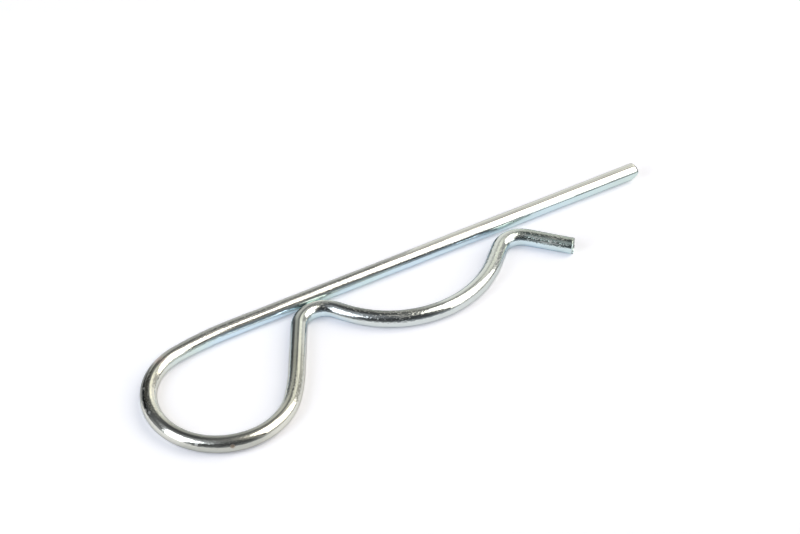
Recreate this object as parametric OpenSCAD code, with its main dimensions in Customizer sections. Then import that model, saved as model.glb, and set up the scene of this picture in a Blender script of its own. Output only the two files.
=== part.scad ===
// Hitch R clip: one piece of round spring wire, bent in one plane.
// Millimetres, +Z up, lying flat. The straight leg runs along X and its tip points to +X.
// The wavy leg lies at -Y. The origin is the centre of the shaft that the clip holds:
// on the axis of the straight leg, above the lowest point of the belly, halfway up the wire.
// The clip is drawn as it is bent: a run, a bend, a bend, a run, each carrying on from the last.

/* [Wire] */
// Diameter of the spring wire
wire_d = 4; // [3:0.1:4.5]
// Length over all, from the back of the eye to the tip
overall_l = 138; // [130:1:150]

/* [Eye] */
// Centre-line radius of the soft bend between the straight leg and the eye
soft_r = 85; // [65:1:105]
// Angle of the soft bend
soft_a = 10; // [7:1:13]
// Centre-line radius at the back of the eye
rear_r = 15.5; // [14:0.5:17]
// Angle bent at the back of the eye
rear_a = 131; // [122:1:138]
// Centre-line radius at the front of the eye
front_r = 17; // [15.5:0.5:18.5]
// Centre-line radius of the run-out from the eye into the limb
runout_r = 50; // [35:1:65]
// Angle of the run-out
runout_a = 9; // [6:1:12]
// Angle between the limb and the straight leg
limb_slope = 60; // [58:1:63]

/* [Neck] */
// Centre-line radius of the first kink
neck_r = 6; // [5:0.5:7]
// Gap between the first kink and the straight leg, with the clip at rest
neck_gap = 0.1; // [0.1:0.1:0.5]
// Angle at which the wire leaves the first kink
fall_slope = 53; // [51:1:56]
// Straight run between the first kink and the belly
fall_l = 2; // [1.5:0.5:4]

/* [Belly] */
// Centre-line radius of the belly, which snaps round the shaft
belly_r = 25.5; // [23:0.5:28]
// Angle at which the belly climbs to the second kink
rise_slope = 44; // [42:1:45]

/* [Mouth] */
// Centre-line radius of the second kink
nose_r = 5.5; // [4.5:0.5:6]
// Gap between the second kink and the straight leg, with the clip at rest
mouth_gap = 1.9; // [0.5:0.1:2.5]
// Angle of the turned-out tail
tail_slope = 44; // [30:1:55]
// Straight run of the tail
tail_l = 11; // [7:0.5:15]

/* [Cropped tip] */
// Radius of the edge that the shear blade rolled over
rollover_r = 5.5; // [4:0.5:8]
// Slope of the rolled edge where it meets the round of the wire
rollover_start = 8; // [5:1:12]
// Slope of the rolled edge where it meets the end face
rollover_end = 38; // [30:1:42]
// Turn of the rolled edge about the leg, from straight down towards the wavy leg
rollover_turn = 40; // [0:5:90]

/* [Hidden] */
$fn = 96;
wire_r = wire_d / 2;

// Neighbouring pieces of the wire lap into each other, and every second one is thinner by a hair,
// half the tolerance of drawn wire, so that no two of their surfaces coincide
lap_l = 0.1;
hair = 0.015;
$thin = false;

// Advance of a left-hand arc of radius r that turns from heading a to heading b
function arc_x(r, a, b) = r * (sin(b) - sin(a));
function arc_y(r, a, b) = r * (cos(a) - cos(b));

// The front of the eye turns what is left, so that the limb leaves at its slope
front_a = 180 + limb_slope - soft_a - rear_a - runout_a;

// Headings where the arcs of the eye meet; the leg comes into the first at 180
rear_h = 180 + soft_a;
front_h = rear_h + rear_a;
runout_h = front_h + front_a;
limb_h = runout_h + runout_a;

// Advance of the whole eye, from the end of the straight leg to the start of the limb
eye_x = arc_x(soft_r, 180, rear_h) + arc_x(rear_r, rear_h, front_h)
      + arc_x(front_r, front_h, runout_h) + arc_x(runout_r, runout_h, limb_h);
eye_y = arc_y(soft_r, 180, rear_h) + arc_y(rear_r, rear_h, front_h)
      + arc_y(front_r, front_h, runout_h) + arc_y(runout_r, runout_h, limb_h);

// Y of the centre line at the crest of each kink
neck_y = -wire_d - neck_gap;
nose_y = -wire_d - mouth_gap;

// The limb is as long as it takes to bring the first kink up to its gap
limb_l = (neck_y - neck_r * (1 - cos(limb_slope)) - eye_y) / sin(limb_slope);

// Y of the centre line at the two ends of the belly, and the run that brings the second kink up to its gap
fall_y = neck_y - neck_r * (1 - cos(fall_slope)) - fall_l * sin(fall_slope);
rise_y = fall_y + arc_y(belly_r, -fall_slope, rise_slope);
rise_l = (nose_y - nose_r * (1 - cos(rise_slope)) - rise_y) / sin(rise_slope);

// X where the straight leg ends and the eye starts, with the lowest point of the belly at X 0
root_x = -eye_x - limb_l * cos(limb_slope) - neck_r * (sin(limb_slope) + sin(fall_slope))
       - fall_l * cos(fall_slope) - belly_r * sin(fall_slope);
back_x = root_x + arc_x(soft_r, 180, rear_h) + arc_x(rear_r, rear_h, 270) - wire_r;
tip_x = back_x + overall_l;

// A straight run of wire along X; what follows carries on from its end
module run(length) {
    lap = $thin ? lap_l : 0;
    laps = $children > 0 ? 2 : 1;
    translate([-lap, 0, 0]) rotate([0, 90, 0])
        cylinder(h = length + laps * lap, r = $thin ? wire_r - hair : wire_r);
    translate([length, 0, 0]) let ($thin = !$thin) children();
}

// A bend in the XY plane, to the left for a positive angle; what follows carries on from its end
module bend(radius, angle) {
    side = sign(angle);
    lap = $thin ? lap_l / radius * 180 / PI : 0;
    translate([0, side * radius, 0]) {
        rotate([0, 0, min(0, angle) - side * 90 - lap])
            rotate_extrude(angle = abs(angle) + 2 * lap)
                translate([radius, 0]) circle(r = $thin ? wire_r - hair : wire_r);
        rotate([0, 0, angle]) translate([0, -side * radius, 0]) let ($thin = !$thin) children();
    }
}

// What the shear blade rolls off one edge of a tip that ends at X 0:
// all that lies outside a round laid across the wire
module rollover() {
    round_x = -rollover_r * sin(rollover_end);
    round_z = -wire_r + rollover_r * cos(rollover_start);
    first_x = round_x + rollover_r * sin(rollover_start);
    rotate([-rollover_turn, 0, 0])
        difference() {
            translate([first_x, -wire_d, -wire_d]) cube([wire_d, 2 * wire_d, wire_d]);
            translate([round_x, 0, round_z]) rotate([90, 0, 0])
                cylinder(h = 4 * wire_d, r = rollover_r, center = true);
        }
}

// The whole clip, from the tip of the straight leg round to the end of the tail
module clip() {
    color("silver")
        difference() {
            translate([tip_x, 0, 0]) rotate([0, 0, 180])
                run(tip_x - root_x)
                bend(soft_r, soft_a)
                bend(rear_r, rear_a)
                bend(front_r, front_a)
                bend(runout_r, runout_a)
                run(limb_l)
                bend(neck_r, -limb_slope - fall_slope)
                run(fall_l)
                bend(belly_r, fall_slope + rise_slope)
                run(rise_l)
                bend(nose_r, -rise_slope - tail_slope)
                run(tail_l);
            translate([tip_x, 0, 0]) rollover();
        }
}

clip();
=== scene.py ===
"""A hitch R clip as it leaves the plating barrel: bright zinc over drawn spring wire, bent in one
plane, lying on a white studio floor. Sizes are in millimetres and degrees, as the wire is bent."""

from math import ceil, cos, radians, sin

import bpy
import numpy as np
from mathutils import Matrix, Vector


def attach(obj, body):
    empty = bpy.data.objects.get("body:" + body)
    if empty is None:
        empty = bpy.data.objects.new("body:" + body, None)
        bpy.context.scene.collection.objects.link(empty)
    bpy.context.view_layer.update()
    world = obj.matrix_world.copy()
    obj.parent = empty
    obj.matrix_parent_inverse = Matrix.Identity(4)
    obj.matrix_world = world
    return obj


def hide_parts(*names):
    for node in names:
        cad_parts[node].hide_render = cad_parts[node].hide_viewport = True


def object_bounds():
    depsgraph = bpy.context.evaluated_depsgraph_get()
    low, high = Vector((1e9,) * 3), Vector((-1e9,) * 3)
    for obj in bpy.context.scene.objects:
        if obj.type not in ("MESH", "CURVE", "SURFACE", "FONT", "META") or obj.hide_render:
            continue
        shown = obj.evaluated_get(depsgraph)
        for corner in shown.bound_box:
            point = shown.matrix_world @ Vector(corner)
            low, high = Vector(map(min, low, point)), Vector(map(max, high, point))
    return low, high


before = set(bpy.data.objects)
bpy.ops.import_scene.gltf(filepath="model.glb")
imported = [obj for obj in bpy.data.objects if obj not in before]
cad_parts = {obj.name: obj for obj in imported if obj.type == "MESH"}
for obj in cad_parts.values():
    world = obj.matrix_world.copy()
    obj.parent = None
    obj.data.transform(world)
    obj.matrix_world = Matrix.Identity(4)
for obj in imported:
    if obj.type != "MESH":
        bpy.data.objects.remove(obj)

MM = 0.001
CAD_LOW, CAD_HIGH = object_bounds()

# Wire
WIRE_R = 2.0
SIDES = 96                  # corners of one ring of the wire
RING_PITCH = 0.5            # distance between rings, along the wire
SMOOTH_BELOW = 30.0         # edges flatter than this are shaded smooth

# Eye, from the straight leg round to the limb: the radius and turn of each bend
SOFT_BEND = (85.0, 10.0)
REAR_BEND = (15.5, 131.0)
FRONT_BEND = (17.0, 90.0)
RUNOUT_BEND = (50.0, 9.0)

# Wavy leg
NECK_R = 6.0
NECK_GAP = 0.1              # between the first kink and the straight leg
FALL_SLOPE = 53.0
FALL_L = 2.0
BELLY_R = 25.5
RISE_SLOPE = 44.0
NOSE_R = 5.5
MOUTH_GAP = 1.9             # between the second kink and the straight leg
TAIL_SLOPE = 44.0
TAIL_L = 11.0

# Cropped tip: the edge that the shear blade rolled over is a round laid across the wire
ROLLOVER_R = 5.5
ROLLOVER_START = 8.0
ROLLOVER_END = 38.0
ROLLOVER_TURN = 40.0
ROLLOVER_CUTS = 9
ROLLOVER_REACH = 4.0        # the cuts touch no more of the wire than this
CUT_EXACTNESS = 0.0005      # a corner nearer than this to a cut counts as on it
SHORTEST_EDGE = 0.06        # what the cuts leave shorter is merged
SORT_FROM = (0.0, 13.0, 7.0)    # a point that no two corners near the cuts are equally far from

# Both ends: the edge broken in the barrel, and the thin lip that the blade drew up on one side
EDGE_BREAK = 0.12
EDGE_BREAK_STEPS = 3
BURR_WIDTH = 0.14
BURR_STEP = 0.09
BURR_LEAN = 0.3             # outwards, for each step up
BURR_SPREADS = (58.0, 30.0)
TIP_BURR_TURN = 130.0       # turn of the tip's lip about the leg, from straight down towards the wavy leg
SQUARE_TO_END = 0.999       # cosine between an end and a face that lies square to it
NEARLY_SQUARE = 0.9         # the same for a face along its edge

# The die and the rollers leave the wire very slightly uneven
WAVE_LENGTH = 14.0
WAVE_DEPTH = 0.16

# Camera: it looks at a point near the middle of the clip
CAMERA_TARGET = (-1.9, -1.4, 0.0)
CAMERA_AZIMUTH = -29.1
CAMERA_ELEVATION = 44.9
CAMERA_DISTANCE = 800.0
CAMERA_LENS = 154.2
CAMERA_SENSOR = 36.0

# Zinc, dull where it is rubbed; darker on some sides as painted shade, and lighter inside the back of the
# eye as a painted highlight
ZINC = "#DADBD6"
MATT_ZINC = "#C2C4BF"
# dull, rubbed zinc, on the top side also painted shade
DULL_AND_SHADED_ZINC = "#989A96"
# a painted highlight, cream, inside the back of the eye
PAINTED_HIGHLIGHT_ZINC = "#F3F1E6"
# painted shade on the outer side of the eye's back bend
PAINTED_SHADE_ZINC = "#828480"
GLOSS_ROUGHNESS = 0.08
KNOCKED_ROUGHNESS = 0.13
MATT_ROUGHNESS = 0.5
GLANCING = "#CFCFCF"        # what the plating gives back at a glancing angle, next to what it does face on

# The clear passivation over it, and painted shade and painted tints of the floor's reflection on the side
# that faces down
STRAW_FILM = "#DEDED4"
GREEN_FILM = "#D8DDDA"
TAIL_FILM = "#CBDAD0"
# painted shade, greying the side that faces down at the bottom of the eye
UNDER_EYE_SHADE_GREY = "#BEBFB6"
# painted tints of the floor's reflection, on the side that faces down
BLUE_FLOOR_REFLECTION = "#D6E9F4"
SEA_GREEN_FLOOR_REFLECTION = "#D6EAE7"
EYE_AT = (-30.0, -40.0)     # X where the film starts to be the eye's, and where it is so altogether
WAVY_LEG_AT = (0.0, -8.0)   # Y where it starts to be the wavy leg's, and where it is so altogether
FLOOR_REFLECTION_DRIFT = (1 / 14, 1 / 7)    # the hue of the painted reflection tint wanders over some 14 mm along the wire

# Patterns, as counts a millimetre along the wire and across it. The die's lines and the grain are really
# finer, 0.05 mm and 0.1 mm, and are drawn as coarse as they need to be to show.
DIE_LINES = (1 / 45, 1 / 0.4)
DIE_LINE_DEPTH = 0.03
STREAKS = (1 / 7, 1 / 0.3)
GRAIN = (1 / 0.65, 1 / 0.32)
GRAIN_DEPTH = 0.06
LEAST_GRAIN = 0.05          # share of that depth where nothing knocked the wire
MATT_FROM = 0.58            # height of the streaks and the grain where matt zinc starts
MATT_FULL = 0.66            # and where all of it is matt

# Sides of the wire: the direction they face, and its cosine where they start and where they are full
DOWNWARD_SIDE = ((0.0, -0.8, -0.6), 0.0, 0.5)         # the side that faces down: painted shade and the painted tint of the floor's reflection go there, and no matt
RUBBED_AND_SHADED_TOP = ((0.0, 0.6, 0.8), 0.5, 0.85)           # other clips rubbed on it; its darker colour there is partly painted shade
HIGHLIGHT_SIDE = ((0.45, -0.3, 0.84), 0.88, 0.96)      # painted highlight: a cream reflection inside the back of the eye
SHADED_SIDE = ((-0.6, 0.35, 0.72), 0.9, 0.98)         # painted shade, darkening the outer side of the eye's back bend

# Shares that change along the wire, as places from the tip and the share at each
WIRE_TO = 290.0
# How knocked about the wire is, all round it and on its rubbed top
KNOCKS = (
    (0, 0.0), (60, 0.1), (85, 0.12), (112, 0.15), (125, 0.25), (134, 0.45), (143, 0.5), (149, 0.2),
    (154, 0.2), (159, 0.4), (166, 0.35), (172, 0.15), (180, 0.05), (187, 0.7), (193, 0.2), (208, 0.1),
    (214, 0.3), (216, 0.7), (219, 0.3), (226, 0.65), (236, 0.8), (242, 0.3), (252, 0.15), (260, 0.2),
    (266, 0.6), (272, 0.1), (277, 0.8), (283, 1.0), (287.5, 1.0), (289, 0.0),
)
SCUFFS = ((30, 0.0), (60, 0.35), (85, 0.5), (118, 0.6), (130, 0.0))
# Where its top is dull and darkened as painted shade, where the painted highlight lies, and where painted
# shade lies
DULL_AND_SHADE_SHARE = (
    (100, 0.0), (112, 0.25), (122, 0.4), (130, 0.2), (135, 0.4), (142, 0.1), (147, 0.0), (152, 0.5),
    (158, 0.6), (167, 0.6), (173, 0.2), (180, 0.0), (218, 0.0), (221, 0.6), (226, 1.0), (238, 1.0),
    (243, 0.7), (247, 0.0), (275, 0.0), (279, 0.7),
)
HIGHLIGHT_SHARE = ((130, 0.0), (134, 1.0), (139, 1.0), (143, 0.0))
SHADED_SIDE_SHARE = ((125, 0.0), (131, 1.0), (142, 1.0), (147, 0.0))
# How strong the painted blue tint of the floor's reflection is on the side that faces down, and how far it
# has turned from blue to green
FLOOR_REFLECTION_SHARE = (
    (0, 0.8), (20, 1.0), (112, 1.0), (124, 0.5), (132, 0.0), (208, 0.0), (213, 0.9), (219, 0.8),
    (227, 0.1), (262, 0.1), (274, 0.8), (280, 1.0), (287, 0.7),
)
FLOOR_REFLECTION_GREEN = (
    (0, 1.0), (12, 0.8), (24, 0.2), (36, 0.5), (44, 0.1), (66, 0.1), (74, 0.5), (79, 0.1), (86, 0.9),
    (91, 0.9), (97, 0.1), (112, 0.0), (122, 0.9), (211, 0.5), (218, 0.0), (276, 0.3), (280, 0.0),
)
# Where painted shade greys the side that faces down, at the bottom of the eye
UNDER_EYE_SHADE_SHARE = ((150, 0.0), (157, 1.0), (169, 1.0), (177, 0.0))
TAIL_SHARE = ((273, 0.0), (279, 1.0))

# Marks on the plating: a place along, across and up on the drawn wire, and how far each reaches
MARK_CORE = 0.3                         # share of its reach over which a mark is full
STAIN = ((165.1, -1.75, 0.9), 0.75)     # a spot of dried bath
STAIN_BROWN = "#AB9C8C"
FLUSH = ((128.3, -0.4, 2.0), 1.9)       # a breath of red in the film
FLUSH_RED = "#DACFC9"
BLOOM = ((163.5, 0.2, 1.9), 8.0)        # a matt breath on the front of the eye
BLOOM_SHARE = 0.3
SPECKS = (
    ((137.2, -1.0, 1.7), 0.5),
    ((144.2, -1.1, 1.6), 0.5),
    ((157.7, -1.6, 1.2), 0.5),
)

# Floor
FLOOR_SIZE = 6000.0
PAPER = "#F3F3F3"
PAPER_GLOW = 0.287                      # added to the paper for the camera, which just sees it pure white
PAPER_GLOW_RISE = (0.62, 0.68, 0.0)     # how much more of it, for each metre along X and Y
PAPER_GLOW_RANGE = (0.12, 0.5)
PAPER_GLOW_COLOUR = "#EBEDFF"
PAPER_GLOW_MIRRORED = 0.19              # added to the paper in the wire's reflections

# Lamps: place is an azimuth, an elevation and a distance, and size is a width and a height
SOFTBOX_RIGHT = dict(
    place=(121.8, 58.1, 549.5), facing=(103, 16), size=(444, 690), roll=19, radiance=1.78, colour="#FFF9F0")
SOFTBOX_LEFT = dict(
    place=(-95, 21, 500), facing=(-119, 61), size=(260, 550), roll=25, radiance=2.5, colour="#F0F5FF")
WHITE_CARD = dict(
    place=(71, 16.5, 99), facing=(0, 0), size=(151, 60), roll=0, radiance=0.3, colour="#FFFDF6")
POWER_OF_RADIANCE = 4.0                 # watts a square metre of lamp for one unit of brightness
RIM_WIDTH = 60.0
RIM_BLACK = "#141414"
FLAG_LOW = (-92.0, 27.0, 18.0)
FLAG_HIGH = (-58.0, 27.0, 46.0)
FLAG_GREY = "#5A5A58"

# The room round the clip: brightness overhead, and what the walls add low down, up to an elevation
ROOM_COLOUR = "#F2F7FF"
CEILING = 0.11
LOW_WALLS = 0.27
LOW_WALLS_TO = 39.0
# Soft patches: azimuth and elevation of the centre, full within, gone beyond, brightness added, colour
LIGHT_PATCHES = (
    (31, -3, 26, 54, 0.40, "#FFFFF6"),      # white paper behind the clip
    (54, 41, 4, 17, 0.52, "#FFFFEA"),       # its bright side
    (3, 37, 5, 18, 0.26, "#FFFFEE"),        # its top edge
    (-82, 60, 0, 34, 0.34, "#F2F6FF"),      # ceiling above the left softbox
    (100, 28, 44, 60, 0.42, "#FFFCF2"),     # wall round the right softbox
)
# The same, with the share of light taken away
DARK_PATCHES = (
    (-28, 4, 11, 33, 0.84),     # dark corner at the back
    (84, 12, 3, 28, 0.36),      # gap between the paper and the right softbox
    (172, 38, 20, 32, 0.40),    # the camera and its stand
    (-143, 22, 14, 30, 0.50),   # the dark room beside it
)

# A Mix node has sockets of the same names for numbers, vectors and colours. These are those for colours.
MIX_FROM = 6
MIX_TO = 7
MIX_RESULT = 2


# ---------------------------------------------------------------- the wire's route

def left_arc(radius, start, turn):
    """How far an arc to the left goes in X and Y, from one heading through a turn."""
    first = radians(start)
    last = radians(start + turn)
    return Vector((radius * (sin(last) - sin(first)), radius * (cos(first) - cos(last))))


def crest_drop(radius, slope):
    """How far a crest falls, from its top to where it has this slope."""
    return radius * (1 - cos(radians(slope)))


def wire_route():
    """The runs and bends from the tip of the straight leg to the end of the tail.
    A run is its length and a bend is its radius and turn, to the left when positive."""
    eye = []
    heading = 180.0
    reach = Vector((0.0, 0.0))
    for radius, turn in (SOFT_BEND, REAR_BEND, FRONT_BEND, RUNOUT_BEND):
        reach += left_arc(radius, heading, turn)
        heading += turn
        eye.append(("bend", radius, turn))
    limb_slope = heading - 360

    # The back of the eye, where the wire heads for -Y, sets where the straight leg ends
    soft_r, soft_turn = SOFT_BEND
    rear_r = REAR_BEND[0]
    back = left_arc(soft_r, 180, soft_turn) + left_arc(rear_r, 180 + soft_turn, 90 - soft_turn)
    root_x = CAD_LOW.x / MM + WIRE_R - back.x
    leg_l = CAD_HIGH.x / MM - root_x

    # The limb and the rise are as long as it takes to bring each kink up to its gap
    neck_y = -2 * WIRE_R - NECK_GAP
    nose_y = -2 * WIRE_R - MOUTH_GAP
    limb_l = (neck_y - crest_drop(NECK_R, limb_slope) - reach.y) / sin(radians(limb_slope))
    fall_y = neck_y - crest_drop(NECK_R, FALL_SLOPE) - FALL_L * sin(radians(FALL_SLOPE))
    rise_y = fall_y + left_arc(BELLY_R, -FALL_SLOPE, FALL_SLOPE + RISE_SLOPE).y
    rise_l = (nose_y - crest_drop(NOSE_R, RISE_SLOPE) - rise_y) / sin(radians(RISE_SLOPE))

    return [
        ("run", leg_l),
        *eye,
        ("run", limb_l),
        ("bend", NECK_R, -limb_slope - FALL_SLOPE),
        ("run", FALL_L),
        ("bend", BELLY_R, FALL_SLOPE + RISE_SLOPE),
        ("run", rise_l),
        ("bend", NOSE_R, -RISE_SLOPE - TAIL_SLOPE),
        ("run", TAIL_L),
    ]


# ---------------------------------------------------------------- modelling

def deselect_all():
    for thing in bpy.context.selected_objects:
        thing.select_set(False)


def in_plane(heading):
    """The direction of a heading in the plane of the clip."""
    return Vector((cos(radians(heading)), sin(radians(heading)), 0.0))


def bend_wire(route):
    """The wire as a bending machine makes it: a ring, drawn out along each run and spun round each bend."""
    place = Vector((CAD_HIGH.x, 0.0, 0.0))
    heading = 180.0
    deselect_all()
    bpy.ops.mesh.primitive_circle_add(
        vertices=SIDES, radius=WIRE_R * MM, location=place, rotation=(0, radians(90), 0))
    wire = bpy.context.object
    wire.name = "wire"
    wire.data.name = "wire"
    bpy.ops.object.transform_apply()
    bpy.ops.object.mode_set(mode="EDIT")
    bpy.ops.mesh.select_all(action="SELECT")
    for kind, size, *turn in route:
        if kind == "run":
            rings = ceil(size / RING_PITCH)
            step = in_plane(heading) * (size * MM / rings)
            for _ in range(rings):
                bpy.ops.mesh.extrude_region_move(TRANSFORM_OT_translate={"value": step})
            place += step * rings
        else:
            angle = turn[0]
            side = 1 if angle > 0 else -1
            centre = place + in_plane(heading + side * 90) * (size * MM)
            rings = ceil(abs(radians(angle)) * size / RING_PITCH)
            # spin counts a turn to the left as negative
            bpy.ops.mesh.spin(steps=rings, angle=-radians(angle), center=centre, axis=(0, 0, 1))
            heading += angle
            place = centre - in_plane(heading + side * 90) * (size * MM)
    bpy.ops.mesh.edge_face_add()
    bpy.ops.object.mode_set(mode="OBJECT")
    return wire


def note_drawn_places(wire):
    """Stores where each point was on the straight wire before it was bent, in millimetres:
    along the wire from the tip, across it in the plane of the clip, and up.
    The drawing lines follow these places round every bend. Also stores which way each point faces."""
    count = len(wire.data.vertices)
    points = np.empty(count * 3)
    wire.data.vertices.foreach_get("co", points)
    rings = points.reshape(-1, SIDES, 3) / MM
    centres = rings.mean(axis=1)
    steps = np.diff(centres, axis=0)
    along = np.concatenate(([0], np.cumsum(np.linalg.norm(steps, axis=1))))
    ahead = np.gradient(centres, axis=0)
    ahead /= np.linalg.norm(ahead, axis=1, keepdims=True)
    across = np.stack((-ahead[:, 1], ahead[:, 0], ahead[:, 2]), axis=1)
    out = rings - centres[:, None]
    drawn = np.empty_like(rings)
    drawn[..., 0] = along[:, None]
    drawn[..., 1] = (out * across[:, None]).sum(axis=2)
    drawn[..., 2] = out[..., 2]
    for name, values in (("drawn", drawn), ("outward", out / WIRE_R)):
        stored = wire.data.attributes.new(name, "FLOAT_VECTOR", "POINT")
        stored.data.foreach_set("vector", values.astype(np.float32).ravel())


def select_where(piece, wanted):
    """In edit mode, selects the faces that pass the test, and nothing else."""
    bpy.ops.mesh.select_all(action="DESELECT")
    bpy.ops.object.mode_set(mode="OBJECT")
    for face in piece.data.polygons:
        face.select = wanted(face)
    bpy.ops.object.mode_set(mode="EDIT")


def roll_tip_edge(wire):
    """Cuts the rolled edge into the cropped tip, as a row of planes that touch its round."""
    down = Vector((0.0, -sin(radians(ROLLOVER_TURN)), -cos(radians(ROLLOVER_TURN))))
    tip_x = CAD_HIGH.x
    round_x = tip_x - ROLLOVER_R * sin(radians(ROLLOVER_END)) * MM
    round_down = (WIRE_R - ROLLOVER_R * cos(radians(ROLLOVER_START))) * MM
    bpy.ops.object.mode_set(mode="EDIT")
    bpy.ops.mesh.select_mode(type="FACE")
    for cut in range(ROLLOVER_CUTS):
        slope = radians(ROLLOVER_START + (ROLLOVER_END - ROLLOVER_START) * cut / (ROLLOVER_CUTS - 1))
        normal = Vector((sin(slope), 0, 0)) + down * cos(slope)
        touch = Vector((round_x, 0, 0)) + down * round_down + normal * (ROLLOVER_R * MM)
        select_where(wire, lambda face: face.center.x > tip_x - ROLLOVER_REACH * MM)
        bpy.ops.mesh.bisect(
            plane_co=touch, plane_no=normal, use_fill=True, clear_outer=True, threshold=CUT_EXACTNESS * MM)
    # The cuts leave their corners in no fixed order, and the merge gives another result in another order
    bpy.context.scene.cursor.location = Vector(SORT_FROM) * MM
    bpy.ops.mesh.select_all(action="SELECT")
    bpy.ops.mesh.sort_elements(type="CURSOR_DISTANCE", elements={"VERT"})
    bpy.ops.mesh.remove_doubles(threshold=SHORTEST_EDGE * MM)
    bpy.ops.mesh.normals_make_consistent(inside=False)
    bpy.ops.object.mode_set(mode="OBJECT")


def close_wire(wire):
    """Caps the tip, merges doubles and points every face outwards."""
    bpy.ops.object.mode_set(mode="EDIT")
    bpy.ops.mesh.select_mode(type="VERT")
    bpy.ops.mesh.select_all(action="DESELECT")
    bpy.ops.object.mode_set(mode="OBJECT")
    for corner in wire.data.vertices[:SIDES]:
        corner.select = True
    bpy.ops.object.mode_set(mode="EDIT")
    bpy.ops.mesh.edge_face_add()
    bpy.ops.mesh.select_all(action="SELECT")
    bpy.ops.mesh.remove_doubles(threshold=0.001 * MM)
    bpy.ops.mesh.normals_make_consistent(inside=False)
    bpy.ops.object.mode_set(mode="OBJECT")


def on_end(face, place, ahead):
    """Whether a face is the cropped end at this place, which looks ahead."""
    return face.normal.dot(ahead) > SQUARE_TO_END and (face.center - place).length < WIRE_R * MM


def on_lip(face, place, ahead, side, spread, height):
    """Whether a face lies along the edge of an end, within an angle of one side, and this far up its lip."""
    away = face.center - place
    up = away.dot(ahead)
    out = away - ahead * up
    return (
        away.length < 2 * WIRE_R * MM
        and face.normal.dot(ahead) > NEARLY_SQUARE
        and out.length > (WIRE_R - EDGE_BREAK - BURR_WIDTH) * MM
        and out.normalized().dot(side) > cos(radians(spread))
        and abs(up - height) < 0.5 * BURR_STEP * MM
    )


def finish_end(wire, place, ahead, burr_sides):
    """Breaks the edge round one end, then draws up a thin lip on some sides, highest in its middle."""
    bpy.ops.object.mode_set(mode="EDIT")
    bpy.ops.mesh.select_mode(type="FACE")
    select_where(wire, lambda face: on_end(face, place, ahead))
    bpy.ops.mesh.region_to_loop()
    bpy.ops.mesh.bevel(offset=EDGE_BREAK * MM, segments=EDGE_BREAK_STEPS, affect="EDGES")
    bpy.ops.mesh.select_mode(type="FACE")
    select_where(wire, lambda face: on_end(face, place, ahead))
    bpy.ops.mesh.inset(thickness=BURR_WIDTH * MM)
    for side in burr_sides:
        step = (ahead + side * BURR_LEAN) * BURR_STEP * MM
        for level, spread in enumerate(BURR_SPREADS):
            height = level * BURR_STEP * MM
            select_where(wire, lambda face: on_lip(face, place, ahead, side, spread, height))
            bpy.ops.mesh.extrude_region_move(TRANSFORM_OT_translate={"value": step})
    bpy.ops.object.mode_set(mode="OBJECT")


def rumple(wire):
    """The faint unevenness of drawn and bent wire, which makes long reflections wander."""
    clouds = bpy.data.textures.new("wire_unevenness", "CLOUDS")
    clouds.noise_scale = WAVE_LENGTH * MM
    clouds.noise_depth = 1
    waves = wire.modifiers.new("waves", "DISPLACE")
    waves.texture = clouds
    waves.texture_coords = "LOCAL"
    waves.mid_level = 0.5
    waves.strength = WAVE_DEPTH * MM
    bpy.ops.object.modifier_apply(modifier="waves")


def make_wire():
    wire = bend_wire(wire_route())
    note_drawn_places(wire)
    tail = Vector(np.mean([corner.co for corner in wire.data.vertices[-SIDES:]], axis=0))
    close_wire(wire)
    roll_tip_edge(wire)
    turn = radians(TIP_BURR_TURN)
    tip_lip = Vector((0.0, -sin(turn), -cos(turn)))
    finish_end(wire, Vector((CAD_HIGH.x, 0.0, 0.0)), Vector((1.0, 0.0, 0.0)), [tip_lip])
    finish_end(wire, tail, in_plane(-TAIL_SLOPE), [Vector((0.0, 0.0, 1.0)), Vector((0.0, 0.0, -1.0))])
    rumple(wire)
    bpy.ops.object.shade_smooth_by_angle(angle=radians(SMOOTH_BELOW))
    return wire


# ---------------------------------------------------------------- materials

def linear(colour):
    """The linear colour of an sRGB hex value."""
    parts = [int(colour[i:i + 2], 16) / 255 for i in (1, 3, 5)]
    return [c / 12.92 if c <= 0.04045 else ((c + 0.055) / 1.055) ** 2.4 for c in parts] + [1.0]


def add_node(tree, kind, settings=None, links=None):
    """Adds a shader node. Settings are its own properties, links are its sockets' values or sources."""
    made = tree.nodes.new("ShaderNode" + kind)
    for name, value in (settings or {}).items():
        setattr(made, name, value)
    for socket, value in (links or {}).items():
        if isinstance(value, bpy.types.NodeSocket):
            tree.links.new(value, made.inputs[socket])
        else:
            made.inputs[socket].default_value = value
    return made


def new_material(name):
    """An empty material with its output node."""
    material = bpy.data.materials.new(name)
    material.use_nodes = True
    material.node_tree.nodes.clear()
    return material, add_node(material.node_tree, "OutputMaterial")


def layered(tree, colour, layers):
    """A colour with others laid over it, one after another, each by its share."""
    for share, tint in layers:
        colour = add_node(tree, "Mix", {"data_type": "RGBA"}, {
            "Factor": share, MIX_FROM: colour, MIX_TO: tint}).outputs[MIX_RESULT]
    return colour


def pattern_along(tree, drawn, counts, detail, roughness):
    """The height of a cloudy pattern that runs along the wire, from its counts a millimetre."""
    along, across = counts
    place = add_node(tree, "VectorMath", {"operation": "MULTIPLY"}, {0: drawn, 1: (along, across, across)})
    return add_node(tree, "TexNoise", links={
        "Vector": place.outputs[0], "Scale": 1.0, "Detail": detail, "Roughness": roughness}).outputs[0]


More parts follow.
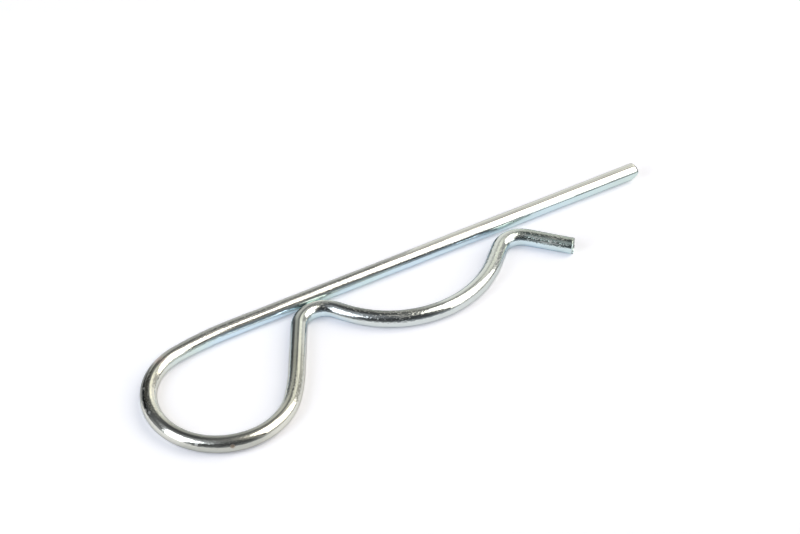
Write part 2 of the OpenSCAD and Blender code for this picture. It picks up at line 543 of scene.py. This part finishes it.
def ramp_along(tree, drawn, stops):
    """A share that changes along the wire, from a list of places and shares."""
    along = add_node(tree, "SeparateXYZ", links={0: drawn}).outputs["X"]
    place = add_node(tree, "Math", {"operation": "DIVIDE"}, {0: along, 1: WIRE_TO})
    ramp = add_node(tree, "ValToRGB", links={0: place.outputs[0]})
    ramp.color_ramp.interpolation = "EASE"
    elements = ramp.color_ramp.elements
    while len(elements) < len(stops):
        elements.new(0.5)
    for element, (at, share) in zip(elements, stops):
        element.position = at / WIRE_TO
        element.color = (share, share, share, 1.0)
    return ramp.outputs[0]


def share_of(tree, mask, drawn, stops):
    """A mask times a share that changes along the wire."""
    return add_node(tree, "Math", {"operation": "MULTIPLY"}, {
        0: mask, 1: ramp_along(tree, drawn, stops)}).outputs[0]


def side_facing(tree, outward, towards, least, full):
    """1 on the side of the wire that faces a direction, 0 where the cosine to it is below the least."""
    cosine = add_node(tree, "VectorMath", {"operation": "DOT_PRODUCT"}, {0: outward, 1: towards})
    return add_node(tree, "MapRange", {"interpolation_type": "SMOOTHSTEP"}, {
        "Value": cosine.outputs["Value"], "From Min": least, "From Max": full}).outputs[0]


def beyond(tree, coordinate, places):
    """0 before one place along an axis of the clip and 1 past another."""
    start, full = places
    return add_node(tree, "MapRange", {"interpolation_type": "SMOOTHSTEP"}, {
        "Value": coordinate, "From Min": start * MM, "From Max": full * MM}).outputs[0]


def mark(tree, drawn, place, reach):
    """1 at a place on the drawn wire, fading to 0 at its reach."""
    away = add_node(tree, "VectorMath", {"operation": "DISTANCE"}, {0: drawn, 1: place})
    return add_node(tree, "MapRange", {"interpolation_type": "SMOOTHSTEP"}, {
        "Value": away.outputs["Value"], "From Min": reach, "From Max": reach * MARK_CORE}).outputs[0]


def floor_reflection_hue(tree, drawn):
    """A painted tint of the floor's reflection: blue, turning to sea green and back along the wire."""
    drift = pattern_along(tree, drawn, FLOOR_REFLECTION_DRIFT, 1.0, 0.5)
    wander = add_node(tree, "MapRange", links={"Value": drift, "To Min": -0.5, "To Max": 0.5})
    green = add_node(tree, "Math", {"operation": "ADD", "use_clamp": True}, {
        0: ramp_along(tree, drawn, FLOOR_REFLECTION_GREEN), 1: wander.outputs[0]})
    return layered(tree, linear(BLUE_FLOOR_REFLECTION), [(green.outputs[0], linear(SEA_GREEN_FLOOR_REFLECTION))])


def film_tint(tree, drawn, lowest, colour):
    """The clear passivation, a film too thin to see but for its tint: straw in and near the eye, green round
    the belly and tail. Facing down, painted shade and a painted blue to green tint of the floor's
    reflection."""
    place = add_node(tree, "TexCoord").outputs["Object"]
    axes = add_node(tree, "SeparateXYZ", links={0: place})
    eye = beyond(tree, axes.outputs["X"], EYE_AT)
    wavy_leg = beyond(tree, axes.outputs["Y"], WAVY_LEG_AT)
    straw = add_node(tree, "Math", {"operation": "MULTIPLY"}, {0: eye, 1: wavy_leg}).outputs[0]
    belly = add_node(tree, "Math", {"operation": "SUBTRACT"}, {0: wavy_leg, 1: straw}).outputs[0]
    return layered(tree, colour, [
        (belly, linear(GREEN_FILM)),
        (straw, linear(STRAW_FILM)),
        (ramp_along(tree, drawn, TAIL_SHARE), linear(TAIL_FILM)),
        (share_of(tree, lowest, drawn, UNDER_EYE_SHADE_SHARE), linear(UNDER_EYE_SHADE_GREY)),
        (share_of(tree, lowest, drawn, FLOOR_REFLECTION_SHARE), floor_reflection_hue(tree, drawn)),
    ])


def matt_share(tree, drawn, grain, knocked, lowest):
    """Matt streaks and specks of coarser zinc, which catch some light where the mirror shows the dark room.
    The side that faces down is spared."""
    streaks = pattern_along(tree, drawn, STREAKS, 3.0, 0.6)
    height = add_node(tree, "Math", {"operation": "MAXIMUM"}, {0: streaks, 1: grain})
    coarse = add_node(tree, "MapRange", {"interpolation_type": "SMOOTHSTEP"}, {
        "Value": height.outputs[0], "From Min": MATT_FROM, "From Max": MATT_FULL})
    spared = add_node(tree, "Math", {"operation": "SUBTRACT"}, {0: 1.0, 1: lowest})
    kept = add_node(tree, "Math", {"operation": "MULTIPLY"}, {0: coarse.outputs[0], 1: knocked})
    matt = add_node(tree, "Math", {"operation": "MULTIPLY"}, {0: kept.outputs[0], 1: spared.outputs[0]})
    bloom = add_node(tree, "Math", {"operation": "MULTIPLY"}, {0: mark(tree, drawn, *BLOOM), 1: BLOOM_SHARE})
    spots = [mark(tree, drawn, place, reach) for place, reach in (*SPECKS, STAIN)]
    for spot in (bloom.outputs[0], *spots):
        matt = add_node(tree, "Math", {"operation": "MAXIMUM"}, {0: matt.outputs[0], 1: spot})
    return matt.outputs[0]


def plate_relief(tree, drawn, grain, knocked):
    """The die's lines, and over them the grain, deeper where the wire is knocked about."""
    lines = pattern_along(tree, drawn, DIE_LINES, 2.0, 0.6)
    lined = add_node(tree, "Bump", links={"Height": lines, "Distance": DIE_LINE_DEPTH * MM, "Strength": 1.0})
    depth = add_node(tree, "MapRange", links={"Value": knocked, "To Min": LEAST_GRAIN, "To Max": 1.0})
    peel = add_node(tree, "Bump", links={
        "Height": grain, "Distance": GRAIN_DEPTH * MM, "Strength": depth.outputs[0],
        "Normal": lined.outputs[0]})
    return peel.outputs[0]


def zinc_plate():
    """Barrel-plated bright zinc with a clear passivation, over drawn wire: a mirror just short of chrome,
    with lengthwise lines from the drawing die and a fine orange peel where clips met in the barrel.
    Its colour also carries painted shade, a painted highlight and a painted tint of the floor's reflection."""
    material, output = new_material("bright_zinc_on_drawn_wire")
    tree = material.node_tree
    drawn = add_node(tree, "Attribute", {"attribute_name": "drawn"}).outputs["Vector"]
    outward = add_node(tree, "Attribute", {"attribute_name": "outward"}).outputs["Vector"]
    lowest, top, highlight_side, shaded_side = [
        side_facing(tree, outward, *side) for side in (DOWNWARD_SIDE, RUBBED_AND_SHADED_TOP, HIGHLIGHT_SIDE, SHADED_SIDE)]
    knocked = add_node(tree, "Math", {"operation": "MAXIMUM"}, {
        0: ramp_along(tree, drawn, KNOCKS), 1: share_of(tree, top, drawn, SCUFFS)}).outputs[0]
    grain = pattern_along(tree, drawn, GRAIN, 1.0, 0.5)
    matt = matt_share(tree, drawn, grain, knocked, lowest)

    # Over the film: dull zinc darkened as painted shade on the top, the painted highlight, painted shade,
    # matt zinc and the marks
    colour = layered(tree, film_tint(tree, drawn, lowest, linear(ZINC)), [
        (share_of(tree, top, drawn, DULL_AND_SHADE_SHARE), linear(DULL_AND_SHADED_ZINC)),
        (share_of(tree, highlight_side, drawn, HIGHLIGHT_SHARE), linear(PAINTED_HIGHLIGHT_ZINC)),
        (share_of(tree, shaded_side, drawn, SHADED_SIDE_SHARE), linear(PAINTED_SHADE_ZINC)),
        (matt, linear(MATT_ZINC)),
        (mark(tree, drawn, *FLUSH), linear(FLUSH_RED)),
        (mark(tree, drawn, *STAIN), linear(STAIN_BROWN)),
    ])
    mirror = add_node(tree, "MapRange", links={
        "Value": knocked, "To Min": GLOSS_ROUGHNESS, "To Max": KNOCKED_ROUGHNESS})
    gloss = add_node(tree, "MapRange", links={
        "Value": matt, "To Min": mirror.outputs[0], "To Max": MATT_ROUGHNESS})
    metal = add_node(tree, "BsdfPrincipled", links={
        "Base Color": colour, "Metallic": 1.0, "Specular Tint": linear(GLANCING),
        "Roughness": gloss.outputs[0], "Normal": plate_relief(tree, drawn, grain, knocked)})
    tree.links.new(metal.outputs[0], output.inputs["Surface"])
    return material


def studio_paper():
    """Matt white paper, lit until it reads as pure white, which keeps the clip's shadow. From below it is
    clear, so that the clip's underside can be seen."""
    material, output = new_material("matt_white_paper")
    tree = material.node_tree
    paper = add_node(tree, "BsdfDiffuse", links={"Color": linear(PAPER), "Roughness": 0.0})
    rays = add_node(tree, "LightPath")
    place = add_node(tree, "TexCoord").outputs["Object"]
    far = add_node(tree, "VectorMath", {"operation": "DOT_PRODUCT"}, {0: place, 1: PAPER_GLOW_RISE})
    least, most = PAPER_GLOW_RANGE
    level = add_node(tree, "MapRange", links={
        "Value": far.outputs["Value"], "From Min": least - PAPER_GLOW, "From Max": most - PAPER_GLOW,
        "To Min": least, "To Max": most})
    seen = add_node(tree, "Math", {"operation": "MULTIPLY"}, {
        0: rays.outputs["Is Camera Ray"], 1: level.outputs[0]})
    mirrored = add_node(tree, "Math", {"operation": "MULTIPLY_ADD"}, {
        0: rays.outputs["Is Glossy Ray"], 1: PAPER_GLOW_MIRRORED, 2: seen.outputs[0]})
    glow = add_node(tree, "Emission", links={
        "Color": linear(PAPER_GLOW_COLOUR), "Strength": mirrored.outputs[0]})
    lit = add_node(tree, "AddShader", links={0: paper.outputs[0], 1: glow.outputs[0]})
    side = add_node(tree, "NewGeometry")
    clear = add_node(tree, "BsdfTransparent")
    both = add_node(tree, "MixShader", links={
        0: side.outputs["Backfacing"], 1: lit.outputs[0], 2: clear.outputs[0]})
    tree.links.new(both.outputs[0], output.inputs["Surface"])
    return material


def black_nylon():
    """The softbox's rim: woven nylon, black and matt."""
    material, output = new_material("black_nylon")
    cloth = add_node(material.node_tree, "BsdfDiffuse", links={"Color": linear(RIM_BLACK)})
    material.node_tree.links.new(cloth.outputs[0], output.inputs["Surface"])
    return material


def dark_grey_card():
    """The flag: uncoated card, dyed dark grey and matt."""
    material, output = new_material("dark_grey_card")
    card = add_node(material.node_tree, "BsdfDiffuse", links={"Color": linear(FLAG_GREY)})
    material.node_tree.links.new(card.outputs[0], output.inputs["Surface"])
    return material


# ---------------------------------------------------------------- studio

def direction(azimuth, elevation):
    """A direction from the clip. Azimuth 0 is towards +Y and 90 towards +X."""
    flat = cos(radians(elevation))
    return Vector((sin(radians(azimuth)) * flat, cos(radians(azimuth)) * flat, sin(radians(elevation))))


def add_softbox(name, place, facing, size, roll, radiance, colour):
    """A rectangular lamp. Facing is the direction that its lit side is square to."""
    width, height = size
    data = bpy.data.lights.new(name, "AREA")
    data.shape = "RECTANGLE"
    data.size = width * MM
    data.size_y = height * MM
    data.color = linear(colour)[:3]
    data.energy = radiance * POWER_OF_RADIANCE * data.size * data.size_y
    lamp = bpy.data.objects.new(name, data)
    azimuth, elevation, distance = place
    turn = direction(*facing).to_track_quat("Z", "Y").to_matrix().to_4x4()
    spin = Matrix.Rotation(-radians(roll), 4, "Z")
    lamp.matrix_world = Matrix.Translation(direction(azimuth, elevation) * distance * MM) @ turn @ spin
    bpy.context.scene.collection.objects.link(lamp)
    return lamp


def add_rim(lamp):
    """The black fabric rim of a softbox, which draws a dark line round its reflection.
    On the side away from the camera it is left off."""
    deselect_all()
    bpy.ops.mesh.primitive_plane_add(size=1, location=(0, 0, 0))
    rim = bpy.context.object
    rim.name = lamp.name + "_rim"
    width = lamp.data.size + 2 * RIM_WIDTH * MM
    height = lamp.data.size_y + 2 * RIM_WIDTH * MM
    bpy.ops.transform.resize(value=(width, height, 1))
    bpy.ops.object.transform_apply(scale=True)
    bpy.ops.object.mode_set(mode="EDIT")
    bpy.ops.mesh.inset(thickness=RIM_WIDTH * MM)
    bpy.ops.mesh.delete(type="FACE")
    select_where(rim, lambda face: face.center.x > lamp.data.size / 2)
    bpy.ops.mesh.delete(type="FACE")
    bpy.ops.object.mode_set(mode="OBJECT")
    rim.matrix_world = lamp.matrix_world
    rim.data.materials.append(black_nylon())
    rim.visible_camera = False


def add_flag():
    """A grey card on a stand near the eye, which keeps the paper's lit top edge out of its back bend.
    It stays out of view and lets the soft light on the floor through."""
    deselect_all()
    bpy.ops.mesh.primitive_plane_add(size=1, location=(0, 0, 0), rotation=(radians(90), 0, 0))
    flag = bpy.context.object
    flag.name = "grey_flag"
    low = Vector(FLAG_LOW)
    high = Vector(FLAG_HIGH)
    size = high - low
    bpy.ops.transform.resize(value=(size.x, 1, size.z))
    bpy.ops.transform.translate(value=(low + high) / 2)
    bpy.ops.transform.resize(value=(MM, MM, MM), center_override=(0, 0, 0))
    bpy.ops.object.transform_apply()
    flag.data.materials.append(dark_grey_card())
    flag.visible_camera = False
    flag.visible_diffuse = False
    flag.visible_shadow = False


def light_studio():
    """A softbox on each side, the right one with its rim, and a white card and a grey flag near the clip."""
    right = add_softbox("softbox_right", **SOFTBOX_RIGHT)
    add_softbox("softbox_left", **SOFTBOX_LEFT)
    add_rim(right)
    card = add_softbox("white_card", **WHITE_CARD)
    card.visible_camera = False
    card.visible_diffuse = False
    add_flag()


def make_floor():
    deselect_all()
    bpy.ops.mesh.primitive_plane_add(size=FLOOR_SIZE * MM, location=(0, 0, CAD_LOW.z))
    floor = bpy.context.object
    floor.name = "floor"
    bpy.ops.object.transform_apply()
    floor.data.materials.append(studio_paper())


def patch_of_room(tree, towards, azimuth, elevation, full, gone):
    """1 in the directions within one angle of a centre, fading to 0 at a wider one."""
    near = add_node(tree, "VectorMath", {"operation": "DOT_PRODUCT"}, {
        0: towards, 1: direction(azimuth, elevation)})
    return add_node(tree, "MapRange", {"interpolation_type": "SMOOTHSTEP"}, {
        "Value": near.outputs["Value"], "From Min": cos(radians(gone)),
        "From Max": cos(radians(full))}).outputs[0]


def make_world():
    """A dim room, brighter low down and round the lamps, with white paper behind and a dark corner.
    The camera sees it white."""
    world = bpy.data.worlds.new("dim_room")
    bpy.context.scene.world = world
    world.use_nodes = True
    tree = world.node_tree
    tree.nodes.clear()
    output = add_node(tree, "OutputWorld")
    towards = add_node(tree, "TexCoord").outputs["Generated"]
    height = add_node(tree, "SeparateXYZ", links={0: towards}).outputs["Z"]
    level = add_node(tree, "MapRange", {"interpolation_type": "SMOOTHSTEP"}, {
        "Value": height, "From Min": 0.0, "From Max": sin(radians(LOW_WALLS_TO)),
        "To Min": CEILING + LOW_WALLS, "To Max": CEILING}).outputs[0]
    total = add_node(tree, "VectorMath", {"operation": "SCALE"}, {
        0: linear(ROOM_COLOUR)[:3], "Scale": level}).outputs[0]
    for azimuth, elevation, full, gone, brightness, colour in LIGHT_PATCHES:
        patch = patch_of_room(tree, towards, azimuth, elevation, full, gone)
        added = [brightness * part for part in linear(colour)[:3]]
        total = add_node(tree, "VectorMath", {"operation": "MULTIPLY_ADD"}, {
            0: patch, 1: added, 2: total}).outputs[0]
    for azimuth, elevation, full, gone, darkness in DARK_PATCHES:
        patch = patch_of_room(tree, towards, azimuth, elevation, full, gone)
        left = add_node(tree, "Math", {"operation": "MULTIPLY_ADD"}, {0: patch, 1: -darkness, 2: 1.0})
        total = add_node(tree, "VectorMath", {"operation": "SCALE"}, {
            0: total, "Scale": left.outputs[0]}).outputs[0]
    rays = add_node(tree, "LightPath")
    room = add_node(tree, "Background", links={"Color": total, "Strength": 1.0})
    white = add_node(tree, "Background", links={"Color": linear("#FFFFFF"), "Strength": 1.0})
    both = add_node(tree, "MixShader", links={
        0: rays.outputs["Is Camera Ray"], 1: room.outputs[0], 2: white.outputs[0]})
    tree.links.new(both.outputs[0], output.inputs["Surface"])


def make_camera():
    data = bpy.data.cameras.new("camera")
    data.lens = CAMERA_LENS
    data.sensor_width = CAMERA_SENSOR
    camera = bpy.data.objects.new("camera", data)
    away = direction(180 - CAMERA_AZIMUTH, CAMERA_ELEVATION) * CAMERA_DISTANCE * MM
    camera.location = Vector(CAMERA_TARGET) * MM + away
    camera.rotation_mode = "QUATERNION"
    camera.rotation_quaternion = (-away).to_track_quat("-Z", "Y")
    bpy.context.scene.collection.objects.link(camera)
    bpy.context.scene.camera = camera


make_camera()
make_world()
make_floor()
light_studio()

wire = make_wire()
wire.data.materials.append(zinc_plate())
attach(wire, "root")
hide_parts("clip")

bpy.context.scene.view_settings.view_transform = "Standard"
